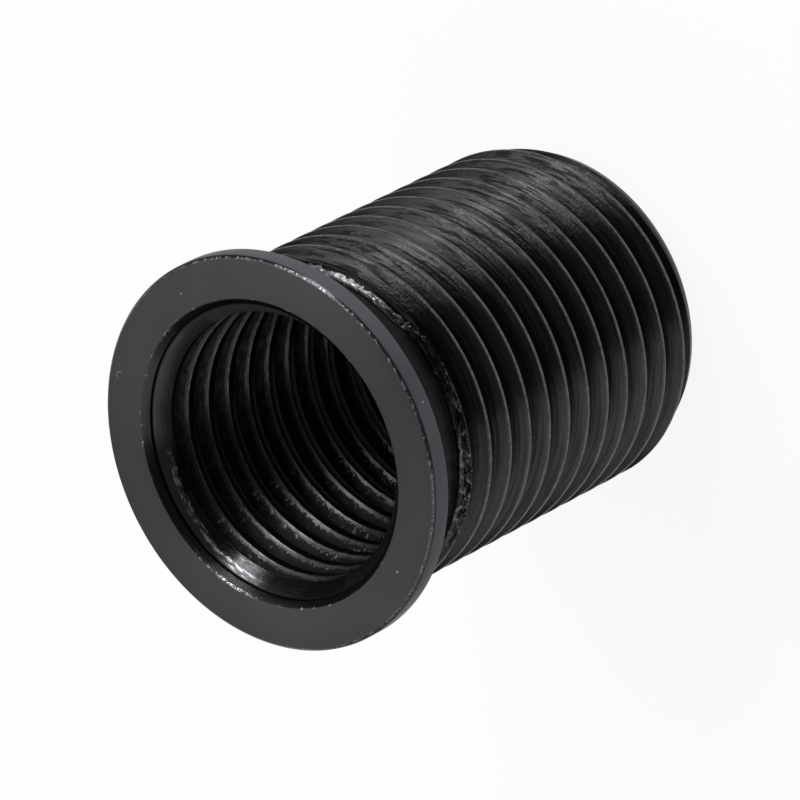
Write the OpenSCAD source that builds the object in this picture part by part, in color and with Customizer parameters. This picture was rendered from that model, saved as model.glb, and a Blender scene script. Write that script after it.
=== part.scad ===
// Flanged threaded insert, turned and threaded from one piece of steel.
// It stands on its threaded end, flange up, with its axis on Z and Z = 0 at the end face.
// Sizes are in millimetres.

/* [Overall] */
// Length from the end face to the flange's front face
insert_len = 18.6; // [16:0.1:24]
// Pitch of both threads
pitch = 1.25; // [1:0.05:1.5]
// Wall left between the roots of the two threads
thread_wall = 0.17; // [0.12:0.01:0.6]

/* [Flange] */
// Outside diameter of the flange
flange_d = 15.85; // [15.2:0.05:20]
// Thickness of the flange
flange_t = 0.9; // [0.6:0.05:2]
// Chamfer round the flange's front edge
flange_front_chamfer = 0.12; // [0.05:0.01:0.25]
// Chamfer round the flange's back edge
flange_back_chamfer = 0.06; // [0.03:0.01:0.2]

/* [Outer thread and neck] */
// Diameter over the outer thread's crests
outer_thread_d = 13.88; // [12:0.02:14.6]
// Length of the plain neck between the flange and the first full crest
neck_len = 2.47; // [1.6:0.01:4]
// Bevel in the corner between the neck and the flange
neck_bevel = 0.1; // [0.05:0.01:0.3]
// Length of the lead chamfer on the threaded end
lead_len = 1.18; // [0.6:0.02:1.8]
// Depth of the lead chamfer at the end face
lead_depth = 0.52; // [0.3:0.02:0.56]

/* [Inner thread, mouth and far end] */
// Depth of the inner thread
inner_depth = 0.59; // [0.5:0.01:0.62]
// How far the mouth's edge stands outside the inner thread's roots
mouth_lip = 0.2; // [0.15:0.01:0.5]
// Width and depth of the chamfer round the mouth
mouth_chamfer = 0.27; // [0.2:0.01:0.4]
// Width of the narrow ring between the chamfer and the countersink
mouth_ring = 0.07; // [0.04:0.01:0.15]
// Step inwards from the narrow ring to the countersink
ring_step = 0.05; // [0.03:0.01:0.08]
// Depth of the countersink, from the front face to the inner thread's start
countersink_depth = 0.92; // [0.8:0.02:1.4]
// Chamfer round the bore at the threaded end
far_chamfer = 0.35; // [0.2:0.01:0.4]

/* [Hidden] */
steel = "#26282b";
$fn = 128;
// How far a cutter passes the face that it opens
over = 0.5;
// Flank slope of a 60 degree thread, the width that each unit of depth takes
flank = tan(30);
// Flats on the outer thread's crests and at the inner thread's roots
sharp_flat = pitch / 8;

// Outer thread, from its crests down to its roots
outer_r = outer_thread_d / 2;
outer_depth = 0.6134 * pitch;
outer_root_r = outer_r - outer_depth;
outer_root_w = pitch - sharp_flat - 2 * outer_depth * flank;
// The neck keeps the diameter of the blank that the thread was rolled on
neck_r = outer_r - 0.3248 * pitch;
neck_top_z = insert_len - flange_t;
thread_top_z = neck_top_z - neck_len;
first_crest_z = thread_top_z - sharp_flat / 2;
// Grooves below the first crest, the last one opening into the lead chamfer
outer_grooves = floor(first_crest_z / pitch + 0.5);

// Inner thread, from its roots in to its crests
inner_root_r = outer_root_r - thread_wall;
inner_crest_r = inner_root_r - inner_depth;
inner_groove_w = sharp_flat + 2 * inner_depth * flank;
inner_start_z = insert_len - countersink_depth;
// Grooves below the countersink, half a pitch apart from the crest that it ends on
inner_grooves = floor((inner_start_z - far_chamfer - inner_groove_w / 2) / pitch + 0.5);

flange_r = flange_d / 2;
mouth_r = inner_root_r + mouth_lip;
ring_r = mouth_r - mouth_chamfer;
ring_z = insert_len - mouth_chamfer - mouth_ring;

// Half section of the solid blank, from the axis outwards
module blank_section() {
    polygon([
        [0, 0],
        [outer_r - lead_depth, 0],
        [outer_r, lead_len],
        [outer_r, thread_top_z],
        [neck_r, thread_top_z + (outer_r - neck_r) * flank],
        [neck_r, neck_top_z - neck_bevel],
        [neck_r + neck_bevel, neck_top_z],
        [flange_r - flange_back_chamfer, neck_top_z],
        [flange_r, neck_top_z + flange_back_chamfer],
        [flange_r, insert_len - flange_front_chamfer],
        [flange_r - flange_front_chamfer, insert_len],
        [0, insert_len]
    ]);
}

// Half section of one groove of the outer thread, centred on its root
module outer_groove_section() {
    reach = outer_depth + over;
    polygon([
        [outer_root_r, -outer_root_w / 2],
        [outer_root_r + reach, -outer_root_w / 2 - reach * flank],
        [outer_root_r + reach, outer_root_w / 2 + reach * flank],
        [outer_root_r, outer_root_w / 2]
    ]);
}

// Half section of one groove of the inner thread, centred on its root
module inner_groove_section() {
    reach = inner_depth + over;
    polygon([
        [inner_root_r - reach, -sharp_flat / 2 - reach * flank],
        [inner_root_r, -sharp_flat / 2],
        [inner_root_r, sharp_flat / 2],
        [inner_root_r - reach, sharp_flat / 2 + reach * flank]
    ]);
}

// Half section of the bore: chamfer, thread crests, countersink, ring and mouth
module bore_section() {
    polygon([
        [0, -over],
        [inner_crest_r + far_chamfer + over, -over],
        [inner_crest_r, far_chamfer],
        [inner_crest_r, inner_start_z],
        [ring_r - ring_step, ring_z],
        [ring_r, ring_z],
        [ring_r, insert_len - mouth_chamfer],
        [mouth_r, insert_len],
        [mouth_r, insert_len + over],
        [0, insert_len + over]
    ]);
}

module outer_thread_grooves() {
    for (i = [0 : outer_grooves - 1]) {
        translate([0, 0, first_crest_z - (i + 0.5) * pitch])
            rotate_extrude() outer_groove_section();
    }
}

module inner_thread_grooves() {
    for (i = [0 : inner_grooves - 1]) {
        translate([0, 0, inner_start_z - (i + 0.5) * pitch])
            rotate_extrude() inner_groove_section();
    }
}

module insert() {
    color(steel) difference() {
        rotate_extrude() blank_section();
        rotate_extrude() bore_section();
        outer_thread_grooves();
        inner_thread_grooves();
    }
}

insert();
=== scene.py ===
import math

import bpy
import numpy as np
from mathutils import Matrix, Vector, noise


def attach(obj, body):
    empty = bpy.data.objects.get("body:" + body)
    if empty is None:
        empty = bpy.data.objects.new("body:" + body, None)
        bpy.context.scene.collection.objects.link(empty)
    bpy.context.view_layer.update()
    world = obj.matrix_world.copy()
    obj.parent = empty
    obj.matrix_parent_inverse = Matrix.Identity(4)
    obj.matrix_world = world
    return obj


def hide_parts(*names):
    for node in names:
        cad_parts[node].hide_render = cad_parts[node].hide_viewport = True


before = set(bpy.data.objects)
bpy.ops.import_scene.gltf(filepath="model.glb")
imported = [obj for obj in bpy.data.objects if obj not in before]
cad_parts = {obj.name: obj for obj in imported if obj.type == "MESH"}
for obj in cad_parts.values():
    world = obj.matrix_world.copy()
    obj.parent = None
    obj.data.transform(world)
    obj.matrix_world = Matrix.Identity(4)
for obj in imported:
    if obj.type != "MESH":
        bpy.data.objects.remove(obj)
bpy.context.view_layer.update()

MM = 0.001

# Driving dimensions of the insert in millimetres, the same as in the CAD model
PITCH = 1.25
LENGTH = 18.6
FLANGE_R, FLANGE_T = 7.925, 0.9
UNDERSIDE = LENGTH - FLANGE_T
FRONT_CHAMFER, BACK_CHAMFER = 0.12, 0.06
CREST_R = 6.94
ROOT_R = CREST_R - 0.6134 * PITCH
NECK_R = CREST_R - 0.3248 * PITCH
NECK_BEVEL = 0.1
LEAD_LEN, LEAD_DEPTH = 1.18, 0.52
THREAD_WALL = 0.17
BORE_ROOT_R = ROOT_R - THREAD_WALL
BORE_CREST_R = BORE_ROOT_R - 0.59
MOUTH_R = BORE_ROOT_R + 0.2
MOUTH_CHAMFER = 0.27
RING_R, RING_Z = MOUTH_R - MOUTH_CHAMFER, LENGTH - 0.34
RING_STEP = 0.05
SINK_Z = LENGTH - 0.92                  # the countersink's lower edge
FAR_CHAMFER = 0.35
SLOPE = math.tan(math.radians(30))      # half the 60 degree thread angle
CREST_HALF, BORE_CREST_HALF = PITCH / 16, 0.18

# Crests are numbered downwards: the height of number 0 at the angle 0, for each thread
THREAD_Z, BORE_Z = 17.926, 16.27
THREAD_START = 2                        # number of the first crest below the neck
STARTS_AT, RISES_OVER = 130, 45         # degrees where it rises from the neck, on the hidden side
NECK_SEAM = 1.36                        # from THREAD_Z down to the seam in the neck
NOTCH_DEPTH, CRACK_DEPTH = 0.11, 0.17   # of the tear in the first crest
STEPS = 192                             # facets round the axis
WELD = 0.002                            # points nearer than this are one
EDGE_ROUNDING = 0.025                   # on the edges of the turned top


# ---------------------------------------------------------------- modelling

def deselect():
    bpy.ops.object.select_all(action="DESELECT")


def pick(piece):
    """Selects one piece alone and makes it the active one."""
    deselect()
    piece.select_set(True)
    bpy.context.view_layer.objects.active = piece


def drawn_profile(name, points):
    """A line in the XZ plane, drawn by extruding one point, through (radius, height) pairs in mm."""
    deselect()
    r0, z0 = points[0]
    bpy.ops.mesh.primitive_plane_add(size=MM, location=(0, 0, 0))
    line = bpy.context.object
    line.name = name
    bpy.ops.object.mode_set(mode="EDIT")
    bpy.ops.mesh.select_all(action="SELECT")
    bpy.ops.mesh.merge(type="CENTER")
    bpy.ops.transform.translate(value=(r0 * MM, 0, z0 * MM))
    for r, z in points[1:]:
        bpy.ops.mesh.extrude_region_move(
            TRANSFORM_OT_translate={"value": ((r - r0) * MM, 0, (z - z0) * MM)})
        r0, z0 = r, z
    bpy.ops.object.mode_set(mode="OBJECT")
    return line


def swept(line, rise, turns):
    """Turns a profile round the Z axis with the Screw modifier and welds its turns."""
    pick(line)
    screw = line.modifiers.new("sweep", "SCREW")
    screw.axis = "Z"
    screw.angle = 2 * math.pi
    screw.screw_offset = rise * MM
    screw.iterations = turns
    screw.steps = screw.render_steps = STEPS
    screw.use_merge_vertices = rise == 0
    screw.merge_threshold = WELD * MM
    bpy.ops.object.modifier_apply(modifier=screw.name)
    weld(line)
    return line


def weld(piece):
    pick(piece)
    bpy.ops.object.mode_set(mode="EDIT")
    bpy.ops.mesh.select_all(action="SELECT")
    bpy.ops.mesh.remove_doubles(threshold=WELD * MM)
    bpy.ops.object.mode_set(mode="OBJECT")


def read_points(piece):
    """The vertices in mm as angle in degrees, radius and height."""
    xyz = np.empty(len(piece.data.vertices) * 3)
    piece.data.vertices.foreach_get("co", xyz)
    x, y, z = xyz.reshape(-1, 3).T / MM
    return np.degrees(np.arctan2(y, x)), np.hypot(x, y), z


def write_points(piece, angle, radius, height):
    """Moves the vertices to angles in degrees, radii and heights in mm."""
    a = np.radians(angle)
    xyz = np.c_[radius * np.cos(a), radius * np.sin(a), height] * MM
    piece.data.vertices.foreach_set("co", xyz.ravel())
    piece.data.update()


def eased(x):
    """Rises smoothly from 0 to 1 while x does, and stays flat outside."""
    x = np.clip(x, 0, 1)
    return x * x * (3 - 2 * x)


def corner_rounded(points, radius):
    """Rounds each inner corner of a line of (r, z) points with three points, to catch the light."""
    out = [points[0]]
    for before, at, after in zip(points, points[1:], points[2:]):
        a, b, c = Vector(before), Vector(at), Vector(after)
        cut = min(radius, (a - b).length * 0.4, (c - b).length * 0.4)
        first, last = b + (a - b).normalized() * cut, b + (c - b).normalized() * cut
        out += [tuple(first), tuple(b * 0.5 + (first + last) * 0.25), tuple(last)]
    return out + [points[-1]]


# ---------------------------------------------------------------- the two threads

def thread_section(crest_r, root_r, crest_half):
    """Half of a thread's section, its corners rounded: distances from the crest's middle, and radii."""
    inwards = -1 if root_r < crest_r else 1
    depth = abs(crest_r - root_r)
    run = depth * SLOPE
    marks = [0, crest_half - 0.033, crest_half - 0.003, crest_half + 0.024, crest_half + 0.09,
             crest_half + 0.5 * run, crest_half + run - 0.05, crest_half + run + 0.012, PITCH / 2]
    sink = [0, 0, 0.012, 0.058, 0.09 / SLOPE,
            0.5 * depth, depth - 0.05 / SLOPE * 1.02, depth - 0.012, depth]
    return np.array(marks), crest_r + inwards * np.array(sink)


outer_marks, outer_radii = thread_section(CREST_R, ROOT_R, CREST_HALF)
bore_marks, bore_radii = thread_section(BORE_CREST_R, BORE_ROOT_R, BORE_CREST_HALF)


def one_pitch(marks, radii, z_crest):
    """A thread's section over one whole pitch, from the root below a crest to the root above it."""
    below = [(r, z_crest - s) for s, r in zip(marks[:0:-1], radii[:0:-1])]
    above = [(r, z_crest + s) for s, r in zip(marks[1:], radii[1:])]
    return below + above


def swept_thread(name, marks, radii, z_crest, top):
    """A thread's sheet, swept in whole turns from below the end face to above its top."""
    start = z_crest - PITCH * math.ceil((z_crest + PITCH) / PITCH - 0.5)
    turns = math.ceil((top - start) / PITCH + 0.5)
    return swept(drawn_profile(name, one_pitch(marks, radii, start)), PITCH, turns)


def outer_radius(angle, z):
    """The outer thread's radius, with its start, the torn notch and the lead chamfer."""
    turn = (THREAD_Z - z) / PITCH + angle / 360
    crest = np.round(turn)
    groove = np.floor(turn)
    s = (turn - crest) * PITCH
    r = np.interp(np.abs(s), outer_marks, outer_radii)
    rise = eased((STARTS_AT - (angle - 360 * (crest - THREAD_START))) / RISES_OVER)
    sunk = eased((STARTS_AT - (angle - 360 * (groove - THREAD_START))) / RISES_OVER)
    r = NECK_R + (r - NECK_R) * np.where(r >= NECK_R, rise, sunk)
    # The first crest is torn open in a notch beside the burr's ragged edge, wider at the crack
    crack = crack_share(angle)
    narrow = NOTCH_DEPTH * torn_share(angle) * np.exp(-((s - 0.01) / 0.06) ** 2)
    wide = CRACK_DEPTH * eased((s + 0.26) / 0.10) * eased((0.16 - s) / 0.08)
    r = r - (crest == THREAD_START) * (narrow + (wide - narrow) * crack)
    lead = CREST_R - LEAD_DEPTH + LEAD_DEPTH * z / LEAD_LEN
    return np.minimum(r, np.where(z < LEAD_LEN, lead, CREST_R))


def torn_share(angle):
    """How much of the tear shows at an angle: from about -25 to -165 degrees, on the camera's side."""
    return eased((-20 - angle) / 22) * eased((angle + 172) / 30)


def crack_share(angle):
    """The upper part of the tear, where smooth metal lies beside a wide crack."""
    return eased((-20 - angle) / 8) * eased((angle + 80) / 12)


def bore_radius(angle, z):
    """The bore thread's radius, with the chamfer at the far end."""
    turn = (BORE_Z - z) / PITCH + angle / 360
    s = (turn - np.round(turn)) * PITCH
    r = np.interp(np.abs(s), bore_marks, bore_radii)
    return np.maximum(r, BORE_CREST_R + FAR_CHAMFER - z)


def outer_thread():
    """The outer right-hand thread with its lead chamfer and its run-out into the neck."""
    top = THREAD_Z - NECK_SEAM
    sheet = swept_thread("outer_thread", outer_marks, outer_radii, THREAD_Z, top)
    angle, _, z = read_points(sheet)
    z = np.clip(z, 0, top)
    write_points(sheet, angle, outer_radius(angle, z), z)
    weld(sheet)
    return sheet, top


def bore_thread():
    """The thread in the bore, from the far chamfer up to the countersink's edge."""
    sheet = swept_thread("bore_thread", bore_marks, bore_radii, BORE_Z, SINK_Z)
    angle, _, z = read_points(sheet)
    # Above the countersink's edge each column keeps one point in the groove,
    # and the rest close it with a ledge
    column = np.round(angle / 360 * STEPS).astype(int) % STEPS
    past = z > SINK_Z
    lowest = np.full(STEPS, np.inf)
    np.minimum.at(lowest, column[past], z[past])
    closed = past & (z > lowest[column] + 0.001)
    z = np.clip(z, 0, SINK_Z)
    write_points(sheet, angle, np.where(closed, BORE_CREST_R, bore_radius(angle, z)), z)
    weld(sheet)
    return sheet


def turned_top(neck_z):
    """Neck, flange, face and mouth, turned as one section."""
    section = corner_rounded([
        (NECK_R, neck_z),
        (NECK_R, UNDERSIDE - NECK_BEVEL),
        (NECK_R + NECK_BEVEL, UNDERSIDE),
        (FLANGE_R - BACK_CHAMFER, UNDERSIDE),
        (FLANGE_R, UNDERSIDE + BACK_CHAMFER),
        (FLANGE_R, LENGTH - FRONT_CHAMFER),
        (FLANGE_R - FRONT_CHAMFER, LENGTH),
        (MOUTH_R, LENGTH),
        (RING_R, LENGTH - MOUTH_CHAMFER),
        (RING_R, RING_Z),
        (RING_R - RING_STEP, RING_Z),
        (BORE_CREST_R, SINK_Z)], EDGE_ROUNDING)
    return swept(drawn_profile("turned_top", section), 0, 1)


# ---------------------------------------------------------------- the torn burr on the first crest

BURR_MIDDLE, BURR_REACH = -92, 73       # degrees
BURR_ALONG, BURR_ACROSS = 520, 12       # facets
BURR_DEPTH, BURR_ROOT = 0.12, 0.06      # thickness, and how far its borders sink into the sleeve


def two_noises(coarse, fine, fine_share):
    """Two grains of noise at one place, the finer one weaker."""
    return noise.noise(Vector(coarse)) + fine_share * noise.noise(Vector(fine))


def torn_burr():
    """Crinkled metal that the tool tore up on the first crest's upper flank, down to its ragged edge."""
    deselect()
    bpy.ops.mesh.primitive_grid_add(x_subdivisions=BURR_ALONG, y_subdivisions=BURR_ACROSS, size=2)
    burr = bpy.context.object
    burr.name = "torn_burr"
    co = np.empty(len(burr.data.vertices) * 3)
    burr.data.vertices.foreach_get("co", co)
    x, y, _ = co.reshape(-1, 3).T
    angle = BURR_MIDDLE + BURR_REACH * x
    share = (1 - y) / 2                 # 0 at the neck's corner, 1 at the ragged edge
    arc = np.radians(angle) * CREST_R
    ragged = np.array([two_noises((a * 3.1, 0.3, 2.0), (a * 7.7, 1.3, 5.0), 0.6) for a in arc])
    wave = np.array([two_noises((a * 2.4, v * 3.2, 7.0), (a * 5.2, v * 7.0, 1.0), 0.7)
                     for a, v in zip(arc, share)])
    # Heights above the crest's middle, of the upper border and of the ragged edge
    crack = crack_share(angle)
    upper = (CREST_HALF + (CREST_R - NECK_R) * SLOPE + 0.06
             - 0.16 * eased((-68 - angle) / 12) + 0.13 * crack)
    lower = 0.045 + 0.075 * ragged + 0.13 * crack
    s = upper + (lower - upper) * share
    ground = np.clip(CREST_R - (s - CREST_HALF) / SLOPE, NECK_R, CREST_R)
    smooth = eased((-36 - angle) / 6) * eased((angle + 74) / 6)
    arched = np.sin(np.pi * np.clip(share * 0.85 + 0.08, 0, 1))
    lift = torn_share(angle) * (0.05 + 0.13 * wave * (1 - 0.75 * smooth)) * arched
    border = (share < 0.01) | (share > 0.99)
    radius = ground + np.where(border, -BURR_ROOT, lift) - BURR_ROOT * (1 - torn_share(angle))
    z = THREAD_Z + PITCH * (angle / 360 - THREAD_START) + s
    write_points(burr, angle, radius, z)
    pick(burr)
    under = burr.modifiers.new("underside", "SOLIDIFY")
    under.thickness = BURR_DEPTH * MM
    under.offset = -1
    bpy.ops.object.modifier_apply(modifier=under.name)
    return burr


# ---------------------------------------------------------------- one piece

SMOOTH_BELOW = 42                       # degrees between faces that are shaded as one

outer, neck_z = outer_thread()
inner = bore_thread()
top = turned_top(neck_z)
pick(outer)
inner.select_set(True)
top.select_set(True)
bpy.ops.object.join()
insert = outer
insert.name = "threaded_insert"
weld(insert)

# The end face bridges the two threads' last edges
bpy.ops.object.mode_set(mode="EDIT")
bpy.ops.mesh.select_mode(type="EDGE")
bpy.ops.mesh.select_all(action="DESELECT")
bpy.ops.mesh.select_non_manifold(extend=False, use_wire=True, use_boundary=True, use_multi_face=False,
                                 use_non_contiguous=False, use_verts=False)
bpy.ops.mesh.bridge_edge_loops()
bpy.ops.mesh.select_all(action="SELECT")
bpy.ops.mesh.normals_make_consistent(inside=False)
bpy.ops.object.mode_set(mode="OBJECT")

burr = torn_burr()
pick(insert)
burr.select_set(True)
bpy.ops.object.join()
bpy.ops.object.shade_smooth_by_angle(angle=math.radians(SMOOTH_BELOW))


# ---------------------------------------------------------------- shader expressions

OBJECT_COORDINATES = 3                  # that output of the Texture Coordinate node


class Value:
    """A shader socket that takes the usual signs: each one adds its Math node."""

    def __init__(self, paint, socket):
        self.paint, self.socket = paint, socket

    def maths(self, operation, *values):
        return self.paint.node("ShaderNodeMath", {"operation": operation}, dict(enumerate(values)))

    def __add__(self, other): return self.maths("ADD", self, other)
    def __sub__(self, other): return self.maths("SUBTRACT", self, other)
    def __rsub__(self, other): return self.maths("SUBTRACT", other, self)
    def __mul__(self, other): return self.maths("MULTIPLY", self, other)
    def __truediv__(self, other): return self.maths("DIVIDE", self, other)
    def __abs__(self): return self.maths("ABSOLUTE", self)
    __radd__, __rmul__ = __add__, __mul__

    def low(self, other): return self.maths("MINIMUM", self, other)
    def high(self, other): return self.maths("MAXIMUM", self, other)
    def root(self): return self.maths("SQRT", self)

    def to_whole(self):
        """The distance to the nearest whole number."""
        return abs(self.maths("FRACT", self + 0.5) - 0.5)

    def step(self, start, end):
        """Rises smoothly from 0 to 1 between start and end, or falls where end is the smaller."""
        return self.paint.node("ShaderNodeMapRange", {"interpolation_type": "SMOOTHSTEP"},
                               {"Value": self, "From Min": start, "From Max": end})

    def band(self, low, high, soft):
        """1 between low and high and 0 outside, with soft borders."""
        return self.step(low - soft, low + soft) * self.step(high + soft, high - soft)


def new_material(name):
    material = bpy.data.materials.new(name)
    material.use_nodes = True
    return material


class Paint:
    """The nodes of one material or of the world, and the way they are added."""

    def __init__(self, owner):
        self.tree = owner.node_tree
        self.tree.nodes.clear()

    def node(self, kind, settings=None, inputs=None, output=0):
        made = self.tree.nodes.new(kind)
        for key, value in (settings or {}).items():
            setattr(made, key, value)
        for key, value in (inputs or {}).items():
            socket = made.inputs[key]
            if isinstance(value, Value):
                self.tree.links.new(value.socket, socket)
            else:
                socket.default_value = value
        return Value(self, made.outputs[output]) if len(made.outputs) else None

    def vector(self, x, y, z):
        return self.node("ShaderNodeCombineXYZ", None, {0: x, 1: y, 2: z})

    def noise(self, where, scale, detail=2.0, roughness=0.5):
        return self.node("ShaderNodeTexNoise", None,
                         {"Vector": where, "Scale": scale, "Detail": detail, "Roughness": roughness})

    def mix_colour(self, share, first, second):
        return self.node("ShaderNodeMix", {"data_type": "RGBA"}, {0: share, 6: first, 7: second}, 2)


def grey(level, blue=None):
    """A neutral colour, which a blue share above the level makes cooler."""
    return (level, level, level if blue is None else blue, 1)


BARE_STEEL = (0.34, 0.345, 0.36, 1)
THREADED_BELOW = 15.75                  # the neck is above it
OUTSIDE_R = 6.04                        # between the bore's and the outer thread's roots
NICK_AT = (5.28, 5.12)                  # x and y on the face, in mm


def black_oxide():
    """Black oxide on turned and threaded steel, with tool lines, rubbed crests, nicks and specks, and
    painted highlights and shade in places.

    Places round the axis are turns from -0.5 to 0.5. The camera looks from -0.25."""
    material = new_material("black_oxide")
    p = Paint(material)
    place = p.node("ShaderNodeTexCoord", None, None, OBJECT_COORDINATES)
    mm = p.node("ShaderNodeVectorMath", {"operation": "SCALE"}, {0: place, "Scale": 1 / MM})
    xyz = p.node("ShaderNodeSeparateXYZ", None, {0: mm})
    x, y, z = (Value(p, output) for output in xyz.socket.node.outputs)
    r = (x * x + y * y).root()
    turn = y.maths("ARCTAN2", y, x) / (2 * math.pi)
    cos, sin = x / r, y / r
    climb = z - turn * PITCH

    def wrapped(round_axis, along_axis, detail, roughness):
        """Noise that is wrapped round the axis."""
        return p.noise(p.vector(cos * round_axis, sin * round_axis, along_axis), 1.0, detail, roughness)

    # Tool lines, grain and the other noises
    lines = wrapped(1.6, (climb * 0.8 + r) * 16, 3.0, 0.6)
    fine_lines = wrapped(4.0, (climb * 0.8 + r) * 42, 2.0, 0.6)
    crinkle = wrapped(7, climb * 5.0, 2.0, 0.55)
    galled = wrapped(12, climb * 11.0, 4.0, 0.7)
    feather = wrapped(34, climb * 5.0, 2.0, 0.5)
    scratch = wrapped(6, climb * 15, 3.0, 0.65)
    score = wrapped(2.6, climb * 15, 2.0, 0.6)
    grain = p.noise(mm, 9.0, 3.0, 0.6)
    pits = p.noise(mm, 3.2, 4.0, 0.62)
    broad = p.noise(mm, 0.35, 2.0, 0.5)
    specks = p.node("ShaderNodeTexVoronoi", None, {"Vector": mm, "Scale": 1.1})

    # Areas, and distances from the crests' middles
    on_crest = ((THREAD_Z - z) / PITCH + turn).to_whole() * PITCH
    on_bore = ((BORE_Z - z) / PITCH + turn).to_whole() * PITCH
    outside = r.step(OUTSIDE_R, OUTSIDE_R + 0.06)
    inside = 1 - outside
    threaded = outside * z.step(THREADED_BELOW, THREADED_BELOW - 0.15)
    in_bore = inside * z.step(SINK_Z + 0.01, SINK_Z - 0.01)
    on_face = z.step(LENGTH - 0.01, LENGTH - 0.003)
    on_rim = r.step(FLANGE_R - 0.02, FLANGE_R - 0.008)
    turned = (on_face + on_rim).low(1.0)
    cone = inside * z.band(SINK_Z + 0.01, RING_Z - 0.015, 0.01)
    chamfer = z.band(RING_Z + 0.08, LENGTH - 0.012, 0.01) * r.step(MOUTH_R + 0.01, MOUTH_R - 0.01)
    # Painted shadow in the small step between the mouth chamfer and the cone
    ring = (r.band(RING_R - RING_STEP - 0.01, RING_R + 0.02, 0.01)
            * z.band(RING_Z - 0.05, RING_Z + 0.10, 0.01))

    # Rubbed steel on the crests and the flange's edges, with gaps, nicks and chips
    rubbed = on_crest.step(0.105, 0.07) * threaded * r.step(6.80, 6.90)
    rubbed = rubbed * (0.35 + 0.65 * grain.step(0.32, 0.62)) * (0.55 + 0.45 * pits.step(0.35, 0.6))
    off_front_edge = z - LENGTH + FLANGE_R - FRONT_CHAMFER * 0.5 - r
    near_front = abs(off_front_edge).step(0.105, 0.02) * r.step(7.6, 7.75)
    near_back = (z - UNDERSIDE).step(0.09, 0.03) * r.step(7.75, 7.84)
    nicks = near_front * pits.step(0.47, 0.57) * grain.step(0.42, 0.55)
    mouth_edge = (on_face.high(z.step(LENGTH - 0.06, LENGTH - 0.04))
                  * r.step(MOUTH_R + 0.05, MOUTH_R + 0.02))
    chipped_patch = turn.band(0.335, 0.375, 0.01) * grain.step(0.40, 0.5)
    chips = mouth_edge * outside * (pits.step(0.58, 0.66) * 0.6).high(chipped_patch)
    bright = (rubbed * 0.28 + near_front * (0.05 + 0.17 * grain.step(0.44, 0.58))
              + nicks * 0.5 + near_back * 0.25 + chips * 0.9).low(1.0)

    # Torn metal on the first crest's upper flank: heights are in pitches below that crest's middle
    first = (THREAD_Z - z) / PITCH + turn - THREAD_START
    cracked = turn.band(-0.21, -0.065, 0.02)
    below_top = (first - 0.10 * turn.step(-0.19, -0.22) + cracked * 0.11).step(-0.355, -0.325)
    torn = (below_top * first.step(0.065, 0.035) * z.step(16.2, 16.0) * outside
            * r.step(6.56, 6.60) * turn.band(-0.455, -0.065, 0.02))
    smeared = torn * turn.band(-0.20, -0.10, 0.015)
    smear = (smeared * first.band(-0.42, -0.12, 0.03)
             * (crinkle * 0.35 + lines * 0.65).step(0.38, 0.52))
    ridges = abs(crinkle - 0.5).step(0.07, 0.012)
    # Bare torn steel, its crinkle ridges painted lighter as highlights
    bare_lace_and_glints = (torn * (0.03 + ridges * 0.6) * (0.3 + 0.7 * pits.step(0.42, 0.56))
            * turn.step(-0.45, -0.36) * (1 - turn.band(-0.245, -0.20, 0.01) * 0.8))
    ragged = first + (crinkle - 0.5) * 0.15
    # Painted shadow in the tear's notch and crack, and on the torn crest beside them
    notch = (threaded * ragged.band(-0.05 - cracked * 0.10, 0.11 - cracked * 0.05, 0.015)
             * r.step(6.92, 6.88) * turn.band(-0.27, -0.06, 0.02))
    torn_crest_shade = first.band(-0.09, 0.13, 0.02) * turn.band(-0.26, -0.045, 0.02)
    untorn = 1 - torn.high(torn_crest_shade * 0.9)
    bright = (bright * untorn).high(bare_lace_and_glints).high(smear * 0.5) * (1 - notch)
    bright = bright.high(specks.step(0.07, 0.035) * turned * pits.step(0.48, 0.58) * 0.7)

    # Near its crest a flank in the bore is smooth, and deeper down it is galled and darker, the darker
    # part painted shade down in the groove
    bore_flank = in_bore * on_bore.step(BORE_CREST_HALF - 0.01, BORE_CREST_HALF + 0.05)
    lit_side = turn.band(0.27, 0.47, 0.03)
    deep = bore_flank * (r + (galled - 0.5) * 0.24 + (feather - 0.5) * 0.30 * lit_side).step(
        BORE_CREST_R + 0.12, BORE_CREST_R + 0.19)
    # Painted glints on the galled flanks along the lit side
    painted_glints = (deep * feather.step(0.57, 0.66) * galled.step(0.46, 0.56) * lit_side
              * r.step(BORE_CREST_R + 0.46, BORE_CREST_R + 0.28))

    # The first groove's run-out across the cone is painted, not cut: a rough bright edge, and below it a
    # band of painted shade where the groove would be
    above = z - turn * 1.52 - (SINK_Z - 0.18)
    run_out = cone * turn.band(0.20, 0.52, 0.02)
    glitter = run_out * above.band(-0.03, 0.16, 0.03) * turn.step(0.40, 0.34) * galled.step(0.50, 0.60)
    bright = bright.high(glitter)

    # The outer flanks are streaked along the thread, and torn and scored on the lit side; painted shade
    # darkens their roots and the neck under the flange
    streak = (fine_lines * 0.25 + lines * 0.75).step(0.40, 0.58)
    scars = threaded * scratch.step(0.44, 0.38) * turn.band(-0.20, -0.03, 0.03) * broad.step(0.36, 0.56)
    scored = threaded * score.step(0.43, 0.37) * turn.band(-0.215, -0.04, 0.03)
    # Painted shade in the outer thread's roots, just beneath each crest
    under = threaded * on_crest.step(0.33, 0.41) * z.step(LEAD_LEN, LEAD_LEN + 0.4)
    pitted = threaded * (1 - torn) * turn.band(-0.205, -0.125, 0.03)
    # Painted shade on the neck under the flange
    neck = outside * r.step(6.66, 6.58) * z.band(15.05, UNDERSIDE - 0.02, 0.04) * (1 - smeared)

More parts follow.
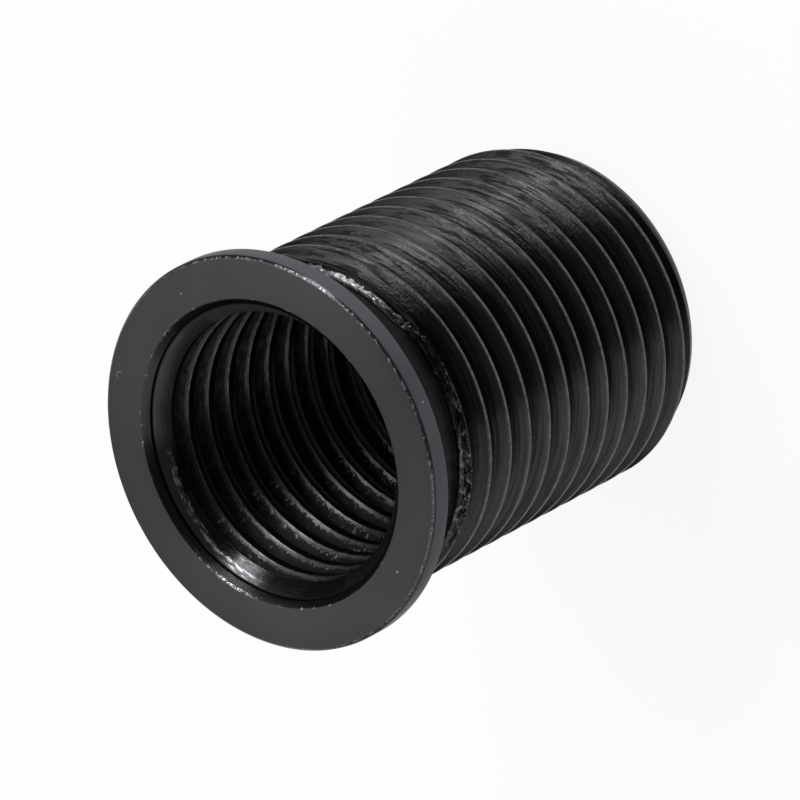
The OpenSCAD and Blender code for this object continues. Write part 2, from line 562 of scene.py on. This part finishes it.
    # Base colours
    tone = broad.step(0.3, 0.7)
    oxide = p.mix_colour(tone, grey(0.040, 0.0425), grey(0.047, 0.050))
    face = p.mix_colour(tone, grey(0.044, 0.0465), grey(0.048, 0.051))
    rim = p.mix_colour(tone, (0.058, 0.060, 0.066, 1), (0.068, 0.071, 0.078, 1))
    colour = p.mix_colour(on_rim, p.mix_colour(on_face, oxide, face), rim)

    # Coats over them, one after the other: each one's share and colour; several are painted highlights
    # and painted shade
    arc_x, arc_y = x - NICK_AT[0], y - NICK_AT[1]
    arc_r = (arc_x * arc_x + arc_y * arc_y).root()
    arc = on_face * arc_r.band(0.13, 0.17, 0.02) * (arc_x + arc_y * 0.3).step(-0.06, 0.04)
    # A matt, lighter patch on one side of the cone stands in for the light that falls there
    matt_lit_patch = cone * turn.band(-0.12, 0.175, 0.025)
    for share, coat in (
            # painted highlight: the rim is lighter between about -72 and -22 degrees
            (on_rim * turn.band(-0.20, -0.06, 0.04) * 0.45, (0.125, 0.130, 0.142, 1)),
            # painted shade: the rim is darker outside about -144 to -18 degrees
            (on_rim * (1 - turn.band(-0.40, -0.05, 0.04)) * 0.45, (0.030, 0.031, 0.034, 1)),
            (threaded * (1 - streak) * 0.70, grey(0.016, 0.017)),
            # dark scars and scoring, and the painted shade in the roots
            ((scars * 0.8).high(under * 0.5).high(scored * 0.85), grey(0.006)),
            # painted shade over the whole bore
            (in_bore * 0.35, grey(0.008)),
            # painted highlight on the bore flanks just below each crest
            (in_bore * on_bore.band(0.14, 0.20, 0.02) * pits.step(0.36, 0.54) * 0.6, grey(0.11, 0.113)),
            # the deep flanks: galled, and darker as painted shade
            (deep, grey(0.010, 0.0105)),
            (deep * galled.step(0.44, 0.60) * (0.8 - 0.65 * lit_side), grey(0.034, 0.035)),
            # painted shadow in the tear
            ((notch * 0.95).high(torn_crest_shade * 0.8), grey(0.003)),
            # painted shade on the neck under the flange
            (neck * 0.9, grey(0.005)),
            # painted shade on the mouth chamfer, less of it between about 29 and 68 degrees where light
            # falls
            (chamfer * (0.75 - 0.7 * turn.band(0.08, 0.19, 0.03)), grey(0.009, 0.010)),
            (cone, grey(0.048, 0.050)),
            # painted shade on the cone beyond about 137 degrees
            (cone * turn.step(0.378, 0.395) * 0.7, grey(0.012, 0.013)),
            # painted shade below the run-out's edge
            (run_out * above.step(0.03, -0.03) * turn.step(0.345, 0.335) * 0.9, grey(0.010, 0.011)),
            # painted shadow in the ring step
            (ring, grey(0.004)),
            # painted glints
            (painted_glints, grey(0.12, 0.125)),
            (bright, BARE_STEEL),
            (arc * 0.3, BARE_STEEL),
            # the matt patch that stands in for light on one side of the cone
            (matt_lit_patch, grey(0.034, 0.036))):
        colour = p.mix_colour(share, colour, coat)

    metal = 0.9 - 0.85 * matt_lit_patch
    roughness = (0.15 + 0.12 * lines + 0.10 * fine_lines * threaded + deep * 0.28 - cone * 0.08
                 + turned * 0.14 + rubbed * 0.08)
    height = ((lines * 1.5 + fine_lines * 0.5 * outside) * (1 - 0.75 * turned)
              + grain * (0.06 + 0.12 * on_face) + deep * galled * 3.0
              + (torn - smeared * 0.85) * crinkle * 3.5 - scars * 1.5 - scored
              + pitted * (grain * 3.0 + galled * 2.0) - nicks - chips)
    bump = p.node("ShaderNodeBump", None, {"Strength": 0.6, "Distance": 0.014 * MM, "Height": height})
    shader = p.node("ShaderNodeBsdfPrincipled", None, {
        "Base Color": colour, "Metallic": metal, "Roughness": roughness, "Normal": bump,
        "Specular Tint": grey(0.7), "Anisotropic": 0.6, "Anisotropic Rotation": 0.25})
    p.node("ShaderNodeOutputMaterial", None, {"Surface": shader})
    return material


insert.data.materials.clear()
insert.data.materials.append(black_oxide())
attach(insert, "root")
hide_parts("insert")


# ---------------------------------------------------------------- studio

PAPER_RADIUS = 1.6                      # metres
PAPER_GLOW = 0.9                        # share of the paper's look that is plain white
LIGHTS_ABOVE = 0.32                     # metres over the insert's middle
INSERT_MIDDLE = 0.012
SURROUND = 0.14                         # how bright the room is in reflections


def studio_floor():
    """White paper, which stays white for the camera and keeps the insert's shadow."""
    deselect()
    bpy.ops.mesh.primitive_circle_add(vertices=96, radius=PAPER_RADIUS, fill_type="NGON",
                                      location=(0, 0, 0))
    floor = bpy.context.object
    floor.name = "studio_floor"
    material = new_material("white_paper")
    p = Paint(material)
    rays = p.node("ShaderNodeLightPath").socket.node.outputs
    seen = Value(p, rays["Is Camera Ray"])
    for ray in ("Is Glossy Ray", "Is Transmission Ray"):
        seen = seen.high(Value(p, rays[ray]))
    fibres = p.noise(p.node("ShaderNodeTexCoord", None, None, OBJECT_COORDINATES), 90.0, 3.0)
    paper = p.mix_colour(fibres, grey(0.80), grey(0.83))
    lit = p.node("ShaderNodeBsdfDiffuse", None, {"Color": paper})
    glow = p.node("ShaderNodeEmission", None, {"Color": grey(1), "Strength": 1.0})
    both = p.node("ShaderNodeMixShader", None, {0: seen * PAPER_GLOW, 1: lit, 2: glow})
    p.node("ShaderNodeOutputMaterial", None, {"Surface": both})
    floor.data.materials.append(material)


def area_light(name, length, width, level):
    """A rectangular soft light that looks equally bright at any size."""
    data = bpy.data.lights.new(name, "AREA")
    data.shape = "RECTANGLE"
    data.size, data.size_y = length, width
    data.energy = level * math.pi * length * width
    lamp = bpy.data.objects.new(name, data)
    bpy.context.collection.objects.link(lamp)
    return lamp


def softbox(name, middle, length, width, level, turned):
    """A flat soft light overhead. Its place and size are slopes from the insert, level is how bright
    it looks, and it is turned by an angle in degrees from the X axis."""
    lamp = area_light(name, length * LIGHTS_ABOVE, width * LIGHTS_ABOVE, level)
    lamp.location = (middle[0] * LIGHTS_ABOVE, middle[1] * LIGHTS_ABOVE, LIGHTS_ABOVE + INSERT_MIDDLE)
    lamp.rotation_euler = (0, 0, math.radians(turned))


def side_card(name, place, width, height, level):
    """A soft light that stands to the left of the insert and faces it along the X axis."""
    lamp = area_light(name, height, width, level)
    lamp.location = (place[0], place[1], height / 2 + 0.005)
    lamp.rotation_euler = (0, math.radians(-90), 0)


studio_floor()
side_card("side_card", (-1.2, 0.05), 1.1, 0.45, 0.55)
softbox("key_strip", (1.03, -0.30), 1.75, 0.42, 6.3, -34)
softbox("key_softbox", (1.12, 0.40), 1.25, 0.98, 1.75, -34)
softbox("fill_softbox", (-1.41, 0.18), 2.1, 2.0, 0.85, 55.6)
softbox("low_strip", (2.22, -1.05), 0.75, 0.5, 26.0, 26)
softbox("back_softbox", (0.0, 1.10), 1.4, 1.2, 1.2, 0)

world = bpy.data.worlds.new("studio")
world.use_nodes = True
bpy.context.scene.world = world
sky = Paint(world)
surround = sky.mix_colour(sky.node("ShaderNodeLightPath"), grey(SURROUND), grey(1))
background = sky.node("ShaderNodeBackground", None, {"Color": surround, "Strength": 1.0})
sky.node("ShaderNodeOutputWorld", None, {"Surface": background})

# The camera that was fitted to the photograph's outline: angles in degrees, focal length in pixels
AIM = Vector((-0.424, 0.679, 9.93)) * MM
ELEVATION, AZIMUTH, TURN = 47.162, -0.092, 116.97
DISTANCE = 387.864 * MM
FOCUS_PIXELS, PHOTO_PIXELS = 10037.09, 800
SENSOR = 36
el, az, turned = (math.radians(a) for a in (ELEVATION, AZIMUTH, TURN))
forward = Vector((math.sin(az) * math.cos(el), math.cos(az) * math.cos(el), -math.sin(el)))
side = forward.cross(Vector((0, 0, 1))).normalized()
upright = side.cross(forward)
up = upright * math.cos(turned) + side * math.sin(turned)
right = forward.cross(up)
camera_data = bpy.data.cameras.new("camera")
camera_data.sensor_width = SENSOR
camera_data.lens = FOCUS_PIXELS / PHOTO_PIXELS * SENSOR
camera_data.clip_start, camera_data.clip_end = 0.01, 20
camera = bpy.data.objects.new("camera", camera_data)
turn_matrix = Matrix((right, up, -forward)).transposed().to_4x4()
camera.matrix_world = Matrix.Translation(AIM - forward * DISTANCE) @ turn_matrix
bpy.context.collection.objects.link(camera)
bpy.context.scene.camera = camera

bpy.context.scene.view_settings.view_transform = "Standard"
